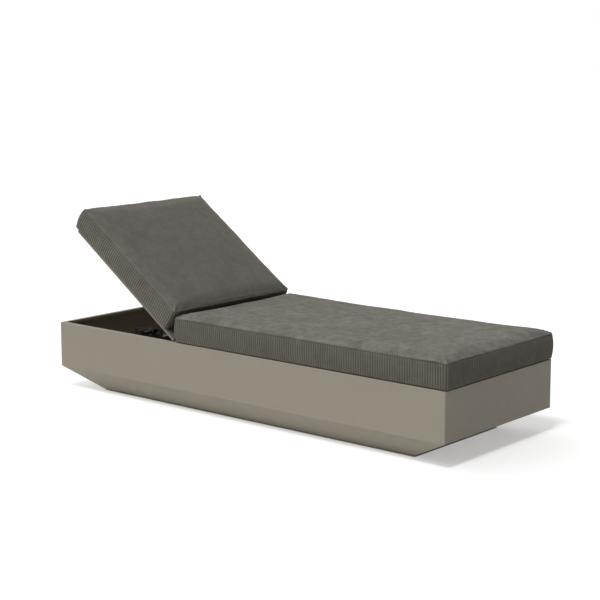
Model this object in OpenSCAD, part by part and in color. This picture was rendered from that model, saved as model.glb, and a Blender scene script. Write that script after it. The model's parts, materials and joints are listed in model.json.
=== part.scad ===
// Spa relaxation lounger: a tapered shell base, a fixed seat deck and a hinged backrest.
// X runs from the head end to the foot end and Z up; the origin is on the floor under the middle.
// The backrest is drawn at its recline angle, held by a prop whose foot slides in two guides.

/* [Base shell] */
// Length of the base
base_len = 2000; // [1850:10:2150]
// Width of the base
base_wid = 706; // [640:2:780]
// Height of the rim above the floor
rim_height = 283; // [270:1:300]
// Height at which the walls turn inwards
knee_height = 94; // [80:1:110]
// How far each end wall runs in below the knee
end_tuck = 186; // [150:1:220]
// How far each side wall runs in below the knee
side_tuck = 80; // [60:1:95]
// Width of the rim
rim_flange = 18; // [16:1:20]
// Depth of the lip that hangs from the inner edge of the rim
rim_lip = 12; // [8:1:16]
// Thickness of the shell sheet
sheet = 3; // [2.6:0.1:3.4]
// Width of the flange under the sloping walls
bottom_flange = 30; // [26:1:36]
// Gap between the shell and the floor
ground_gap = 4; // [3.5:0.1:6]
// Radius of the four upright corners
corner_radius = 4; // [3:0.5:6]
// Radius of the outer edge of the rim
edge_radius = 2; // [1:0.5:2.5]

/* [Decks] */
// Thickness of the seat deck and of the back board
board_thick = 10; // [9:0.5:14]
// Gap between the rim and the flat back board
board_gap = 1.5; // [1.4:0.1:3]
// How far the back board's sides stay inside the base's outline
board_inset = 3; // [2:1:8]
// Length from the head end to the hinge axis
head_len = 683; // [650:1:710]
// Width of the bars under the seat deck
bar_wid = 40; // [34:1:50]
// Height of the bars under the seat deck
bar_ht = 25; // [20:1:30]
// Number of bars under the seat deck
bar_count = 5; // [4:1:7]
// Width of the side rails
rail_wid = 40; // [36:1:50]
// Height of the side rails
rail_ht = 30; // [25:1:40]
// Wall of the bars, rails and cross members
tube_wall = 2; // [1.6:0.1:2.6]

/* [Backrest] */
// Angle of the backrest above the flat
recline = 35.5; // [20:0.5:42]
// Steepest angle of the backrest
recline_max = 44; // [42:1:45]
// Height of the hinge axis above the decks
axis_rise = 3.5; // [3:0.1:4]
// Number of hinges
hinge_count = 3; // [2:1:4]
// Length of one hinge
hinge_len = 70; // [60:1:90]
// Width of one hinge leaf
leaf_wid = 35; // [32:1:42]

/* [Prop] */
// Distance along the back board from the hinge axis to the prop's pivot
prop_reach = 208; // [190:1:220]
// Depth of the prop's pivot below the back board
pivot_drop = 14; // [13.5:0.5:18]
// Depth of the prop's legs
leg_depth = 20; // [18:0.5:20.5]
// Thickness of the prop's legs
leg_thick = 5; // [4:0.5:6]
// Distance between the prop's legs
leg_spread = 250; // [220:2:280]
// Diameter of the foot bar
foot_bar_dia = 14; // [12:0.5:15]
// Diameter of the slide bushes
bush_dia = 18; // [17:0.5:20]
// Distance from each leg of the prop out to its guide
guide_offset = 20; // [20:0.5:30]
// Thickness of the guides
guide_thick = 5; // [4:0.5:6]
// Diameter of the clamp knobs
knob_dia = 36; // [32:1:42]
// Length of the clamp knobs
knob_len = 27; // [25:1:32]
// Length of the clamp sleeves
sleeve_len = 45; // [30:1:55]

/* [Cushions] */
// Thickness of the cushions at their edges
cushion_thick = 98; // [88:1:104]
// How far the middle of a cushion stands above its edges
cushion_crown = 7; // [4:0.5:10]
// Radius of the cushions' long edges
cushion_round = 12; // [10:0.5:14]
// Radius of the cushions' upright corners
cushion_corner = 14; // [14:1:24]
// How far the middle of a side is drawn in
cushion_draw = 3; // [1:0.5:5]
// How far a side swells at half its height
cushion_swell = 2; // [1:0.5:3]
// Depth of the seam groove round the top
seam_depth = 1.6; // [1:0.1:2]
// Distance from the hinge axis to the seat cushion
seat_setback = 8; // [7.5:0.5:10]
// Distance from the hinge axis to the back cushion
back_setback = 60; // [58:1:72]
// How far the seat cushion reaches past the foot end
foot_overhang = 3; // [0:1:6]
// How far the back cushion reaches past the head end when flat
head_overhang = 23; // [14:1:28]
// Thickness of the quilted cover round the foam
wadding = 12; // [11:0.5:14]
// Distance from each end of a zip to the cushion's side
zip_inset = 73; // [63:1:128]

/* [Hidden] */
$fn = 64;

// Colours
shell_paint = [0.60, 0.57, 0.52];
board_face = [0.56, 0.53, 0.48];
dark_steel = [0.16, 0.16, 0.16];
bright_steel = [0.72, 0.72, 0.70];
tube_grey = [0.45, 0.45, 0.44];
black_plastic = [0.08, 0.08, 0.08];
cloth = [0.47, 0.46, 0.42];
foam = [0.85, 0.82, 0.70];
brass = [0.72, 0.58, 0.30];

// Clearances and the overrun that every cut shares
over = 1;
run_gap = 0.05;
fit_gap = 0.3;
hole_gap = 0.1;
wall_play = 2;

// Shell
slope_rise = knee_height - ground_gap;
half_len = base_len / 2;
half_wid = base_wid / 2;
floor_top = ground_gap + 2 * sheet;
lip_inner = half_wid - rim_flange;
wall_inner = half_wid - sheet;
plate_margin = 5;
// Rivets that hold the base plate to the shell's bottom flanges
rivet_r = 2.4;
rivet_head_r = 4.5;
rivet_head = 1.2;
rivet_tail_r = 3.4;
rivet_tail = 1.4;
side_rivets = 8;
end_rivets = 3;
rivet_end_margin = 50;
rivet_row_y = half_wid - side_tuck - bottom_flange / 2;
rivet_row_x = half_len - end_tuck - bottom_flange / 2;
rivet_span = half_len - end_tuck - rivet_end_margin;
rivet_end_span = half_wid - side_tuck - 2 * bottom_flange - rivet_end_margin;
// Drain holes in the base plate
drain_r = 6;
drain_share = 0.45;
// Glides
glide_r = 18;
glide_in = 6;
glide_lip = 1;
glide_x = half_len - end_tuck - bottom_flange - glide_r - glide_in;
glide_y = half_wid - side_tuck - bottom_flange - glide_r - glide_in;
glide_screw_r = 3;
glide_head_r = 5.5;
glide_head = 2;
glide_nut_r = 5.8;
glide_nut = 5;

// Decks, rails and bars
deck_under = rim_height + board_gap;
deck_top = deck_under + board_thick;
axis_z = deck_top + axis_rise;
hinge_x = head_len - half_len;
board_play = 1.5;
deck_head = hinge_x + board_play;
deck_foot = half_len - rim_flange - wall_play;
deck_half_wid = lip_inner - wall_play;
rail_top = deck_under - bar_ht;
rail_end = 13;
rail_head = hinge_x - rail_end;
rail_foot = half_len - sheet - 3 * wall_play;
bar_pitch = (deck_foot - deck_head - bar_wid - 2 * wall_play) / (bar_count - 1);
bar_first = deck_head + wall_play + bar_wid / 2;
bar_half_len = deck_half_wid;
bar_screw_y = (wall_inner - rail_wid + bar_half_len) / 2;
bar_screw_r = 3;
bar_screw_head_r = 5;
bar_screw_head = 3;
bar_screw_grip = 6;
bar_access_r = 7;
deck_screw_r = 2.5;
deck_screw_head_r = 4.8;
deck_screw_head = 2.6;
deck_screw_grip = 6;
deck_screw_shares = [-0.9, -0.38, 0.38, 0.9];
cap_flange = 1.5;
cap_plug = 4;

// Prop and guides: the prop is as long as its pivot is far from the hinge axis, so its foot
// stays on a straight line through the hinge axis and turns by twice the backrest's angle
prop_drop = axis_rise + board_thick + pivot_drop;
prop_len = sqrt(prop_reach * prop_reach + prop_drop * prop_drop);
drop_angle = atan(prop_drop / prop_reach);
travel_flat = 2 * prop_len;
travel_steep = 2 * prop_len * cos(recline_max);
travel_rest = 2 * prop_len * cos(recline);
pivot_r = 4;
pivot_head_r = 6;
pivot_head = 2;
pivot_ring = 1.2;
leg_y = leg_spread / 2;
leg_play = 0.5;
lug_thick = 3;
lug_half = leg_thick / 2 + leg_play + lug_thick;
bracket_len = 50;
bracket_wid = 32;
bracket_screw_r = 2;
bracket_screw_head_r = 4;
bracket_screw_head = 2;
bracket_screw_grip = 7;
bracket_screw_x = 17;
bracket_screw_y = 11;
foot_bar_r = foot_bar_dia / 2;
bush_r = bush_dia / 2;
bush_flange = 3;
bush_collar_r = bush_r + bush_flange;
guide_y = leg_y + guide_offset;
guide_inner = guide_y - guide_thick / 2;
guide_outer = guide_y + guide_thick / 2;
guide_margin = 6;
guide_end_margin = 15;
guide_board_gap = 3;
slot_r = bush_r + fit_gap;
guide_low_z = axis_z - travel_flat * sin(drop_angle);
knob_room = 20;
guide_foot_top = guide_low_z - knob_dia / 2 - knob_room;
cross_top = guide_foot_top - guide_thick;
cross_size = 30;
guide_foot_wid = 34;
guide_bolt_r = 4;
guide_bolt_head_r = 7.2;
guide_bolt_head = 5;
guide_nut = 6;
guide_in_x = hinge_x - (travel_steep - slot_r - guide_end_margin) * cos(drop_angle);
guide_out_x = hinge_x - (travel_flat + slot_r + guide_end_margin) * cos(drop_angle);
cross_first = guide_out_x + cross_size / 2;
cross_second = guide_in_x - cross_size / 2;
stud_r = 4;
washer_r = 15;
washer_thick = 2;
washer_in = guide_outer + fit_gap;
sleeve_in = washer_in + washer_thick;
knob_in = sleeve_in + sleeve_len;
stud_share = 0.8;
stud_end = knob_in + stud_share * knob_len;
neck_share = 0.25;
knob_neck = neck_share * knob_len;
neck_r_share = 0.56;
insert_r = 6.5;
insert_share = 0.6;
insert_len = insert_share * knob_len;
knob_lobes = 6;
lobe_at_share = 0.62;
lobe_r_share = 0.19;

// Hinges
knuckle_r = 5;
hinge_pin_r = 2.4;
leaf_thick = 2;
knuckles = 5;
knuckle_gap = 0.4;
hinge_head_r = 3.6;
hinge_head = 1.5;
leaf_screw_r = 2;
leaf_screw_head_r = 3.8;
leaf_screw_head = 1.9;
leaf_screw_grip = 5;
leaf_screws = 3;
leaf_screw_x_share = 0.63;
leaf_screw_y_share = 0.36;
leaf_top = -axis_rise;
hinge_span_share = 0.68;

// Touch-fastener strips and pads
strip_len = 500;
strip_wid = 50;
strip_thick = 1.2;
seat_strip_shares = [0.12, 0.5, 0.88];
back_strip_shares = [0.3, 0.88];
pad_r = 6;
pad_thick = board_gap - fit_gap;
pad_row_shares = [0.18, 0.85];
pad_y_share = 0.45;
pad_margin = 1;
pad_y = half_wid - board_inset - pad_margin - pad_r;

// Cushions
seat_head = hinge_x + seat_setback;
seat_foot = half_len + foot_overhang;
seat_cushion_len = seat_foot - seat_head;
back_cushion_head = head_len + head_overhang;
back_cushion_len = back_cushion_head - back_setback;
core_gap = 0.3;
seam_half_angle = 10;
// Crown of the top panel: shares of the half width in from the edge, and of the crown
crown_in_shares = [0.09, 0.2, 0.4, 0.66];
crown_up_shares = [0.42, 0.7, 0.92, 0.99];
swell_steps = 5;
arc_steps = 5;
long_steps = 8;
short_steps = 4;

// Zips
zip_len = base_wid - 2 * zip_inset;
zip_depth = 4;
tape_thick = 1;
tape_wid = 16;
chain_wid = 5;
chain_ht = 1.5;
slit_wid = 6;
slit_margin = 10;
slider_wid = 9;
slider_len = 14;
slider_back = 2.4;
slider_margin = 12;
ear_thick = 1.5;
pull_eye_r = 2;
pull_pin_r = 0.8;
pull_wid = 7;
pull_len = 22;
pull_thick = 1.4;
slider_face = zip_depth - tape_thick - chain_ht - fit_gap - slider_back;
pull_x = slider_face - pull_eye_r - fit_gap;
slider_y = zip_len / 2 - slider_margin;

// Frames in which pieces are drawn
module at_axis() translate([hinge_x, 0, axis_z]) children();
module reclined() at_axis() rotate([0, recline, 0]) children();
module guide_line() at_axis() rotate([0, -drop_angle, 0]) children();
module at_pivot() reclined() translate([-prop_reach, 0, -prop_drop]) children();
module propped() at_pivot() rotate([0, -2 * recline - drop_angle, 0]) children();
module at_foot() propped() translate([-prop_len, 0, 0]) children();
module both_sides() for (side = [0, 1]) mirror([0, side, 0]) children();
module at_seat_zip() translate([seat_head, 0, deck_top + cushion_thick / 2]) children();
module at_back_zip() reclined() translate([-back_cushion_head, 0, cushion_thick / 2 - axis_rise]) children();

// Round pieces along Y, from y0 to y1
module rod_y(r, y0, y1) translate([0, y0, 0]) rotate([-90, 0, 0]) cylinder(r = r, h = y1 - y0);
module ring_y(r, bore, y0, y1) difference() {
    rod_y(r, y0, y1);
    rod_y(bore, y0 - over, y1 + over);
}

// Round pieces along Z
module peg(r, z0, z1) translate([0, 0, z0]) cylinder(r = r, h = z1 - z0);
module hex_nut(r, bore, z0, z1) difference() {
    translate([0, 0, z0]) cylinder(r = r, h = z1 - z0, $fn = 6);
    peg(bore, z0 - over, z1 + over);
}
// A countersunk screw whose flat head ends at z = 0, pointing down
module flat_screw(r, head_r, head, grip) {
    translate([0, 0, -head]) cylinder(r1 = r, r2 = head_r, h = head);
    peg(r, -grip, -head + over / 10);
}
module flat_sink(r, head_r, head, depth) {
    translate([0, 0, -head]) cylinder(r1 = r + hole_gap, r2 = head_r + hole_gap, h = head);
    peg(r + hole_gap, -depth, -head + over / 10);
    peg(head_r + hole_gap, 0, over);
}

module block(low, high) translate(low) cube(high - low);
module tube_x(x0, x1, wid, ht) difference() {
    block([x0, -wid / 2, 0], [x1, wid / 2, ht]);
    block([x0 - over, tube_wall - wid / 2, tube_wall], [x1 + over, wid / 2 - tube_wall, ht - tube_wall]);
}
module tube_across(half, wid, ht) difference() {
    block([-wid / 2, -half, 0], [wid / 2, half, ht]);
    block([tube_wall - wid / 2, -half - over, tube_wall], [wid / 2 - tube_wall, half + over, ht - tube_wall]);
}
module slot_outline(x0, x1, r) {
    translate([x0, 0]) circle(r);
    translate([x1, 0]) circle(r);
    translate([x0, -r]) square([x1 - x0, 2 * r]);
}
module plate_y(thick) rotate([90, 0, 0]) linear_extrude(height = thick, center = true) children();

// Shell: a wall's outer outline and the hollow inside it, as seen along the wall
function slant_wall(tuck) = sheet * sqrt(tuck * tuck + slope_rise * slope_rise) / slope_rise;
function inner_knee(tuck) = knee_height + (slant_wall(tuck) - sheet) * slope_rise / tuck;
function inner_foot(half, tuck) = half - slant_wall(tuck) - tuck * (slope_rise - sheet) / slope_rise;
function hollow_side(half, tuck) = [
    [half - rim_flange, rim_height + over],
    [half - rim_flange, rim_height - rim_lip],
    [half - rim_flange + sheet, rim_height - rim_lip],
    [half - rim_flange + sheet, rim_height - sheet],
    [half - sheet, rim_height - sheet],
    [half - sheet, inner_knee(tuck)],
    [inner_foot(half, tuck), ground_gap + sheet],
    [half - tuck - bottom_flange, ground_gap + sheet],
    [half - tuck - bottom_flange, ground_gap - over]
];
function both_ways(points) = concat(points,
    [for (i = [len(points) - 1 : -1 : 0]) [-points[i].x, points[i].y]]);

module wall_outline(half, tuck) difference() {
    polygon(both_ways([[half, rim_height], [half, knee_height], [half - tuck, ground_gap]]));
    for (side = [-1, 1]) difference() {
        translate([side * half, rim_height]) square(2 * edge_radius, center = true);
        translate([side * (half - edge_radius), rim_height - edge_radius]) circle(edge_radius);
    }
}
module along_y() rotate([90, 0, 0]) linear_extrude(height = base_wid + 2 * over, center = true) children();
module along_x() rotate([90, 0, 90]) linear_extrude(height = base_len + 2 * over, center = true) children();
module rounded_plan() linear_extrude(height = rim_height + over) {
    square([base_len - 2 * corner_radius, base_wid], center = true);
    square([base_len, base_wid - 2 * corner_radius], center = true);
    for (x = [-1, 1], y = [-1, 1])
        translate([x * (half_len - corner_radius), y * (half_wid - corner_radius)]) circle(corner_radius);
}
module outer_hull() intersection() {
    along_y() wall_outline(half_len, end_tuck);
    along_x() wall_outline(half_wid, side_tuck);
    rounded_plan();
}
module hollow_along_x() along_x() polygon(both_ways(hollow_side(half_wid, side_tuck)));
module hollow_along_y() along_y() polygon(both_ways(hollow_side(half_len, end_tuck)));
module at_rivets() {
    for (side = [-1, 1]) {
        for (i = [0 : side_rivets - 1])
            translate([(2 * i / (side_rivets - 1) - 1) * rivet_span, side * rivet_row_y, 0]) children();
        for (i = [0 : end_rivets - 1])
            translate([side * rivet_row_x, (2 * i / (end_rivets - 1) - 1) * rivet_end_span, 0]) children();
    }
}
module rivet_holes() at_rivets() peg(rivet_r + hole_gap, ground_gap - over, floor_top + over);
module side_panel() difference() {
    intersection() {
        outer_hull();
        block([-half_len - over, -half_wid - over, 0], [half_len + over, 0, rim_height + over]);
    }
    hollow_along_x();
    rivet_holes();
}
module end_panel() difference() {
    intersection() {
        outer_hull();
        hollow_along_x();
        block([0, -half_wid, 0], [half_len + over, half_wid, rim_height + over]);
    }
    hollow_along_y();
    rivet_holes();
    both_sides() block([half_len - rim_flange - over, lip_inner, rim_height - rim_lip - over],
        [half_len - rim_flange + sheet, half_wid, rim_height]);
}
module side_panel_near() color(shell_paint) side_panel();
module side_panel_far() color(shell_paint) mirror([0, 1, 0]) side_panel();
module foot_panel() color(shell_paint) end_panel();
module head_panel() color(shell_paint) mirror([1, 0, 0]) end_panel();

module base_plate() color(shell_paint) difference() {
    block([-half_len + end_tuck + plate_margin, -half_wid + side_tuck + plate_margin, ground_gap + sheet],
        [half_len - end_tuck - plate_margin, half_wid - side_tuck - plate_margin, floor_top]);
    rivet_holes();
    at_glides() peg(glide_screw_r + hole_gap, 0, floor_top + over);
    for (x = [-1, 1], y = [-1, 1])
        translate([x * drain_share * glide_x, y * drain_share * glide_y, 0])
            peg(drain_r, 0, floor_top + over);
}
module base_rivets() color(bright_steel) at_rivets() {
    peg(rivet_head_r, floor_top, floor_top + rivet_head);
    peg(rivet_r, ground_gap - rivet_tail, floor_top + rivet_head / 2);
    peg(rivet_tail_r, ground_gap - rivet_tail, ground_gap);
}

// Glides under the base plate, each held by a screw and a nut
module at_glides() for (x = [-1, 0, 1], y = [-1, 1]) translate([x * glide_x, y * glide_y, 0]) children();
module glides() color(black_plastic) at_glides() difference() {
    union() {
        cylinder(r1 = glide_r - glide_lip, r2 = glide_r, h = glide_lip);
        peg(glide_r, glide_lip, ground_gap + sheet);
    }
    peg(glide_screw_r + hole_gap, -over, ground_gap + sheet + over);
    peg(glide_head_r + hole_gap, -over, glide_lip + glide_head);
}
module glide_screws() color(bright_steel) at_glides() {
    peg(glide_head_r, glide_lip, glide_lip + glide_head);
    peg(glide_screw_r, glide_lip, floor_top + glide_nut + glide_lip);
}
module glide_nuts() color(bright_steel) at_glides()
    hex_nut(glide_nut_r, glide_screw_r + hole_gap, floor_top, floor_top + glide_nut);

// Rails, bars and cross members
module at_bars() for (i = [0 : bar_count - 1]) translate([bar_first + i * bar_pitch, 0, rail_top]) children();
module at_bar_screws() at_bars() both_sides() translate([0, bar_screw_y, 0]) children();
module side_rails() color(tube_grey) difference() {
    both_sides() translate([0, wall_inner - rail_wid / 2, rail_top - rail_ht])
        tube_x(rail_head, rail_foot, rail_wid, rail_ht);
    at_bar_screws() peg(bar_screw_r + hole_gap, -tube_wall - over, over);
}
module deck_bars() color(tube_grey) difference() {
    at_bars() tube_across(bar_half_len, bar_wid, bar_ht);
    at_bar_screws() {
        peg(bar_screw_r + hole_gap, -over, tube_wall + over);
        peg(bar_access_r, bar_ht - tube_wall - over, bar_ht + over);
    }
    at_deck_screws() peg(deck_screw_r + hole_gap, -board_thick - tube_wall - over, over);
}
module deck_bar_screws() color(bright_steel) at_bar_screws() {
    peg(bar_screw_head_r, tube_wall, tube_wall + bar_screw_head);
    peg(bar_screw_r, -tube_wall - bar_screw_grip, tube_wall + bar_screw_head / 2);
}
module tube_caps() color(black_plastic) {
    both_sides() for (x = [rail_head, rail_foot])
        translate([x, wall_inner - rail_wid / 2, rail_top - rail_ht / 2])
            tube_cap(x == rail_head ? -1 : 1, rail_wid, rail_ht);
    at_bars() both_sides() translate([0, bar_half_len, bar_ht / 2])
        rotate([0, 0, 90]) tube_cap(1, bar_wid, bar_ht);
}
module tube_cap(way, wid, ht) {
    inner = [wid / 2 - tube_wall - fit_gap, ht / 2 - tube_wall - fit_gap];
    scale_x = way > 0 ? 0 : 1;
    mirror([scale_x, 0, 0]) {
        block([0, -wid / 2 + fit_gap, -ht / 2 + fit_gap], [cap_flange, wid / 2 - fit_gap, ht / 2 - fit_gap]);
        block([-cap_plug, -inner.x, -inner.y], [over / 10, inner.x, inner.y]);
    }
}
module at_cross_members() for (x = [cross_first, cross_second]) translate([x, 0, 0]) children();
module cross_members() color(tube_grey) difference() {
    at_cross_members() translate([0, 0, cross_top - cross_size])
        tube_across(wall_inner, cross_size, cross_size);
    at_guide_bolts() peg(guide_bolt_r + hole_gap, -cross_size - over, guide_thick + over);
}

// Seat deck
module at_deck_screws() at_bars() for (share = deck_screw_shares)
    translate([0, share * deck_half_wid, bar_ht + board_thick]) children();
module seat_deck() color(board_face) difference() {
    block([deck_head, -deck_half_wid, deck_under], [deck_foot, deck_half_wid, deck_top]);
    at_deck_screws() flat_sink(deck_screw_r, deck_screw_head_r, deck_screw_head, board_thick + over);
    at_axis() leaf_pockets(1);
}
module deck_screws() color(bright_steel) at_deck_screws()
    flat_screw(deck_screw_r, deck_screw_head_r, deck_screw_head, board_thick + deck_screw_grip);

// Hinges: the seat leaves carry the odd knuckles and the pins, the back leaves the even ones
knuckle_len = hinge_len / knuckles;
module at_hinges() for (i = [0 : hinge_count - 1])
    translate([0, (2 * i / (hinge_count - 1) - 1) * hinge_span_share * half_wid, 0]) children();
module leaf_pockets(way) at_hinges() {
    near_x = way > 0 ? -over - knuckle_r : -leaf_wid - fit_gap;
    far_x = way > 0 ? leaf_wid + fit_gap : over + knuckle_r;
    block([near_x, -hinge_len / 2 - fit_gap, leaf_top - leaf_thick], [far_x, hinge_len / 2 + fit_gap, over]);
    at_leaf_screws(way) peg(leaf_screw_r + hole_gap, -leaf_thick - leaf_screw_grip, 0);
}
module at_leaf_screws(way) for (i = [0 : leaf_screws - 1])
    translate([way * leaf_screw_x_share * leaf_wid,
        (2 * i / (leaf_screws - 1) - 1) * leaf_screw_y_share * hinge_len, leaf_top]) children();
module leaf(way, first) difference() {
    union() {
        block([way > 0 ? 0 : -leaf_wid, -hinge_len / 2, leaf_top - leaf_thick],
            [way > 0 ? leaf_wid : 0, hinge_len / 2, leaf_top]);
        for (i = [first : 2 : knuckles - 1])
            rod_y(knuckle_r, i * knuckle_len - hinge_len / 2, (i + 1) * knuckle_len - hinge_len / 2);
    }
    for (i = [1 - first : 2 : knuckles - 1])
        rod_y(knuckle_r + knuckle_gap, i * knuckle_len - hinge_len / 2 - knuckle_gap,
            (i + 1) * knuckle_len - hinge_len / 2 + knuckle_gap);
    rod_y(hinge_pin_r + run_gap, -hinge_len, hinge_len);
    at_leaf_screws(way) flat_sink(leaf_screw_r, leaf_screw_head_r, leaf_screw_head, leaf_thick + over);
}
module hinge_seat_leaves() color(bright_steel) at_axis() at_hinges() leaf(1, 0);
module hinge_back_leaves() color(bright_steel) reclined() at_hinges() leaf(-1, 1);
module hinge_pins() color(bright_steel) at_axis() at_hinges() {
    rod_y(hinge_pin_r, -hinge_len / 2 - hinge_head / 2, hinge_len / 2 + hinge_head / 2);
    for (side = [-1, 1]) translate([0, side * (hinge_len + hinge_head) / 2, 0])
        rod_y(hinge_head_r, -hinge_head / 2, hinge_head / 2);
}
module leaf_screws_of(way) at_hinges() at_leaf_screws(way)
    flat_screw(leaf_screw_r, leaf_screw_head_r, leaf_screw_head, leaf_thick + leaf_screw_grip);
module hinge_seat_screws() color(bright_steel) at_axis() leaf_screws_of(1);
module hinge_back_screws() color(bright_steel) reclined() leaf_screws_of(-1);

// Guides that the prop's foot slides in
function guide_edge_z(x) = axis_z - (hinge_x - x) * tan(drop_angle)
    + (slot_r + guide_margin) / cos(drop_angle);
module at_guide_bolts() both_sides() at_cross_members()
    translate([0, guide_outer + guide_foot_wid / 2, cross_top]) children();
module guide_far() color(dark_steel) difference() {
    union() {
        translate([0, guide_y, 0]) plate_y(guide_thick) polygon([
            [guide_in_x, cross_top], [guide_in_x, guide_edge_z(guide_in_x)],
            [guide_out_x, guide_edge_z(guide_out_x)], [guide_out_x, cross_top]
        ]);
        block([guide_out_x, guide_y, cross_top], [guide_in_x, guide_outer + guide_foot_wid, guide_foot_top]);
    }
    guide_line() translate([0, guide_y, 0]) plate_y(guide_thick + 2 * over)
        slot_outline(-travel_flat, -travel_steep, slot_r);
    block([guide_out_x - over, guide_inner - over, deck_under - guide_board_gap],
        [guide_in_x + over, guide_outer + over, axis_z + over]);
    at_guide_bolts() peg(guide_bolt_r + hole_gap, -over, guide_thick + over);
}
module guide_near() mirror([0, 1, 0]) guide_far();
module guide_bolts() color(bright_steel) at_guide_bolts() {
    translate([0, 0, guide_thick]) cylinder(r = guide_bolt_head_r, h = guide_bolt_head, $fn = 6);
    peg(guide_bolt_r, -cross_size - guide_nut - over, guide_thick + guide_bolt_head / 2);
}
module guide_nuts() color(bright_steel) at_guide_bolts()
    hex_nut(guide_bolt_head_r, guide_bolt_r + hole_gap, -cross_size - guide_nut, -cross_size);

// Back board and what is fixed under it
module back_board() color(board_face) reclined() difference() {
    block([-head_len + wall_play, -half_wid + board_inset, leaf_top - board_thick],
        [-board_play, half_wid - board_inset, leaf_top]);
    leaf_pockets(-1);
    at_brackets() at_bracket_screws() peg(bracket_screw_r + hole_gap, 0, bracket_screw_grip + over);
}
module at_brackets() both_sides() translate([-prop_reach, leg_y, leaf_top - board_thick]) children();
module at_bracket_screws() for (x = [-1, 1], y = [-1, 1])
    translate([x * bracket_screw_x, y * bracket_screw_y, 0]) children();
module prop_brackets() color(bright_steel) reclined() difference() {
    at_brackets() {
        block([-bracket_len / 2, -bracket_wid / 2, -lug_thick], [bracket_len / 2, bracket_wid / 2, 0]);
        for (side = [-1, 1]) translate([0, side * (lug_half - lug_thick / 2), -pivot_drop])
            plate_y(lug_thick) {
                circle(leg_depth / 2);
                translate([-leg_depth / 2, 0]) square([leg_depth, pivot_drop]);
            }
    }
    both_sides() translate([-prop_reach, leg_y, -prop_drop])
        rod_y(pivot_r + run_gap, -bracket_wid / 2, bracket_wid / 2);
    at_brackets() at_bracket_screws() translate([0, 0, -lug_thick]) mirror([0, 0, 1])
        flat_sink(bracket_screw_r, bracket_screw_head_r, bracket_screw_head, lug_thick + over);
}
module bracket_screws() color(bright_steel) reclined() at_brackets() at_bracket_screws()
    translate([0, 0, -lug_thick]) mirror([0, 0, 1])
        flat_screw(bracket_screw_r, bracket_screw_head_r, bracket_screw_head, lug_thick + bracket_screw_grip);
module at_legs() both_sides() translate([0, leg_y, 0]) children();
module pivot_pins() color(bright_steel) at_pivot() at_legs() {
    rod_y(pivot_r, -lug_half - pivot_head / 2, lug_half + 2 * pivot_ring);
    rod_y(pivot_head_r, -lug_half - pivot_head, -lug_half);
}
module pivot_rings() color(dark_steel) at_pivot() at_legs()
    ring_y(pivot_head_r, pivot_r + run_gap, lug_half, lug_half + pivot_ring);
module at_pads() {
    both_sides() for (share = pad_row_shares) translate([-share * head_len, pad_y, 0]) children();
    both_sides() translate([rim_flange / 2 - head_len, pad_y_share * half_wid, 0]) children();
}
module rest_pads() color(black_plastic) reclined() at_pads()
    peg(pad_r, leaf_top - board_thick - pad_thick, leaf_top - board_thick);

// Prop: two legs on a foot bar, with slide bushes, clamp washers and sleeves outside them
module prop_legs() color(dark_steel) propped() at_legs() plate_y(leg_thick) difference() {
    slot_outline(-prop_len, 0, leg_depth / 2);
    circle(pivot_r + run_gap);
    translate([-prop_len, 0]) circle(foot_bar_r + run_gap);
}
module foot_bar() color(bright_steel) at_foot() {
    rod_y(foot_bar_r, -guide_outer + fit_gap, guide_outer - fit_gap);
    rod_y(stud_r, -stud_end, stud_end);
}
module slide_bushes() color(black_plastic) at_foot() both_sides() difference() {
    union() {
        rod_y(bush_collar_r, leg_y + leg_thick / 2, guide_inner - fit_gap);
        rod_y(bush_r, guide_inner - over, guide_outer - fit_gap);
    }
    rod_y(foot_bar_r + run_gap, 0, guide_outer);
}
module clamp_washers() color(bright_steel) at_foot() both_sides()
    ring_y(washer_r, stud_r + run_gap, washer_in, sleeve_in);
module clamp_sleeves() color(bright_steel) at_foot() both_sides()
    ring_y(foot_bar_r, stud_r + run_gap, sleeve_in, knob_in);
module knob() at_foot() difference() {
    union() {
        rod_y(neck_r_share * knob_dia / 2, knob_in + fit_gap, knob_in + knob_neck + over);
        rod_y(knob_dia / 2, knob_in + knob_neck, knob_in + knob_len);
    }
    for (i = [0 : knob_lobes - 1]) rotate([0, i * 360 / knob_lobes, 0])
        translate([lobe_at_share * knob_dia, 0, 0])
            rod_y(lobe_r_share * knob_dia, knob_in + knob_neck - over, knob_in + knob_len + over);
    rod_y(insert_r, knob_in - over, knob_in + fit_gap + insert_len);
    rod_y(stud_r + run_gap, knob_in, stud_end + fit_gap);
}
module knob_insert() at_foot()
    ring_y(insert_r, stud_r + run_gap, knob_in + fit_gap, knob_in + fit_gap + insert_len);
module knob_far() color(black_plastic) knob();
module knob_near() color(black_plastic) mirror([0, 1, 0]) knob();
module knob_insert_far() color(brass) knob_insert();
module knob_insert_near() color(brass) mirror([0, 1, 0]) knob_insert();

// Touch-fastener strips, in pairs between each cushion and its deck
module at_seat_strips() for (share = seat_strip_shares)
    translate([seat_head + share * seat_cushion_len, 0, deck_top]) children();
module at_back_strips() for (share = back_strip_shares)
    translate([-back_setback - share * back_cushion_len, 0, leaf_top]) children();
module strip(level) block([-strip_wid / 2, -strip_len / 2, level * strip_thick],
    [strip_wid / 2, strip_len / 2, (level + 1) * strip_thick]);
module strip_pocket() block([-strip_wid / 2 - fit_gap, -strip_len / 2 - fit_gap, -over],
    [strip_wid / 2 + fit_gap, strip_len / 2 + fit_gap, 2 * strip_thick]);
module seat_hook_strips() color(black_plastic) at_seat_strips() strip(0);
module seat_loop_strips() color(dark_steel) at_seat_strips() strip(1);
module back_hook_strips() color(black_plastic) reclined() at_back_strips() strip(0);
module back_loop_strips() color(dark_steel) reclined() at_back_strips() strip(1);

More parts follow.
